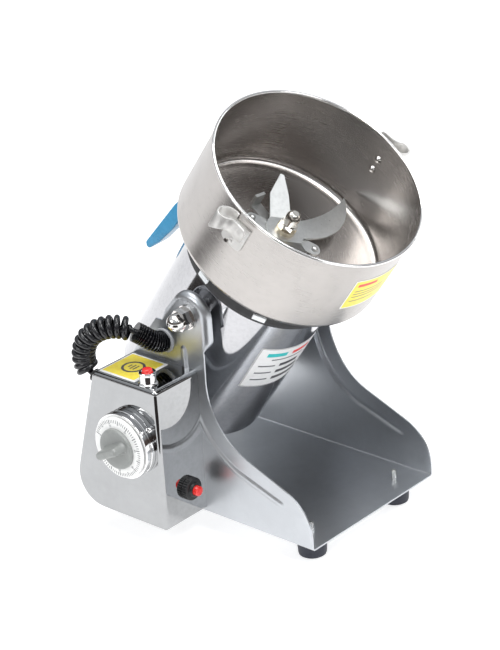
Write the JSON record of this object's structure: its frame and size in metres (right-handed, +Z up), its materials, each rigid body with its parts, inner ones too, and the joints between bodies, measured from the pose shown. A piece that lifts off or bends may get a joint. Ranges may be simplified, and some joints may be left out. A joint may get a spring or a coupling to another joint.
{
  "type": "swing-type grain grinder",
  "caption": "Tabletop electric grain grinder: open steel bowl with blades over a motor, tipping between the cheeks of a tray stand with a side control box",
  "frame": {"origin": "on the table plane, straight below the middle of the pivot axis", "axes": "+X to the machine's right along the pivot axis, -Y to the pouring side, +Z up"},
  "size_m": [0.3101, 0.3249, 0.4204],
  "materials": {
    "stand_sheet": "satin rolled stainless sheet",
    "foot_rubber": "moulded, dark blue-black",
    "plated": "bright zinc plate",
    "cover_chrome": "mirror polished stainless",
    "bezel_chrome": "bright chrome",
    "dark_plastic": "moulded",
    "ivory_plastic": "moulded",
    "black_plastic": "semi-matt black",
    "grey_plastic": "light grey",
    "yellow_label": "printed foil with a white border",
    "white_label": "printed foil",
    "cord_black": "satin black sheath",
    "housing_chrome": "mirror polished stainless tube",
    "dark_steel": "grey paint",
    "pivot_steel": "nickel plate",
    "lamination": "stacked laminations",
    "copper": "enamelled and bare copper",
    "brass_parts": "satin",
    "castings": "cast",
    "bearing_steel": "ground",
    "white_nylon": "pale, glossy",
    "bowl_steel": "spun stainless, brushed round its axis",
    "hook_steel": "satin stainless",
    "handle_blue": "bright blue moulding",
    "seal_rubber": "matt",
    "blade_steel": "satin, lightly worn",
    "nut_steel": "polished",
    "knob_white": "moulded",
    "knob_grey": "moulded",
    "red_button": "moulded",
    "shaft_steel": "ground"
  },
  "bodies": {
    "base": {"stand": "stand_sheet", "rubber_feet": "foot_rubber", "foot_studs": "plated", "control_box_cover": "cover_chrome", "cover_screws": "plated", "timer_body": "dark_plastic", "dial_bezel": "bezel_chrome", "dial_pointer": "bezel_chrome", "switch_bezel": "bezel_chrome", "switch_body": "dark_plastic", "breaker_body": "dark_plastic", "breaker_nut": "black_plastic", "terminal_block": "ivory_plastic", "box_label": "yellow_label", "cord_gland": "black_plastic", "cord_tail": "cord_black", "coil_cord": "cord_black", "cord_boot": "cord_black", "plate_grommet": "grey_plastic", "mains_gland": "black_plastic"},
    "grinder": {"motor_housing": "housing_chrome", "housing_cap": "dark_steel", "pivot_bolts": "pivot_steel", "pivot_nuts": "pivot_steel", "pivot_spacers": "pivot_steel", "motor_stator": "lamination", "field_windings": "copper", "brush_holders": "brass_parts", "lower_bracket": "castings", "lower_bearing": "bearing_steel", "upper_bracket": "castings", "upper_bearing": "bearing_steel", "bowl_collar": "black_plastic", "collar_lugs": "white_nylon", "bowl": "bowl_steel", "lid_hook_left": "hook_steel", "lid_hook_right": "hook_steel", "hook_rivets": "plated", "bowl_handle": "handle_blue", "handle_screws": "plated", "bowl_label": "yellow_label", "rating_plate": "white_label", "shaft_seal": "seal_rubber"},
    "rotor": {"rotor_shaft": "bearing_steel", "armature_core": "lamination", "commutator": "copper", "cooling_fan": "castings", "paddle_blade": "blade_steel", "blade_carrier": "blade_steel", "sickle_blade": "blade_steel", "pointed_blade": "blade_steel", "blade_spacers": "bearing_steel", "blade_collar": "brass_parts", "blade_nut": "nut_steel"},
    "timer_knob": {"timer_shaft": "shaft_steel", "dial_skirt": "knob_white", "knob_grip": "knob_grey"},
    "power_button": {"switch_button": "red_button"},
    "reset_button": {"breaker_button": "red_button"}
  },
  "joints": [
    {"name": "bowl_swing", "type": "hinge", "parent": "base", "child": "grinder", "pos_m": [0, 0, 0.2286], "axis": [1, 0, 0], "range_deg": [-35.6, 70]},
    {"name": "rotor_spin", "type": "hinge", "parent": "grinder", "child": "rotor", "pos_m": [0, 0, 0.2286], "axis": [0, -0.5821, 0.8131], "continuous": true},
    {"name": "timer_turn", "type": "hinge", "parent": "base", "child": "timer_knob", "pos_m": [-0.15, 0.031, 0.113], "axis": [1, 0, 0], "range_deg": [0, 300]},
    {"name": "power_press", "type": "slide", "parent": "base", "child": "power_button", "axis": [0, 0, -1], "range_m": [0, 0.002], "stiffness_N_per_m": 400},
    {"name": "reset_press", "type": "slide", "parent": "base", "child": "reset_button", "axis": [0, 1, 0], "range_m": [0, 0.002], "stiffness_N_per_m": 400}
  ]
}
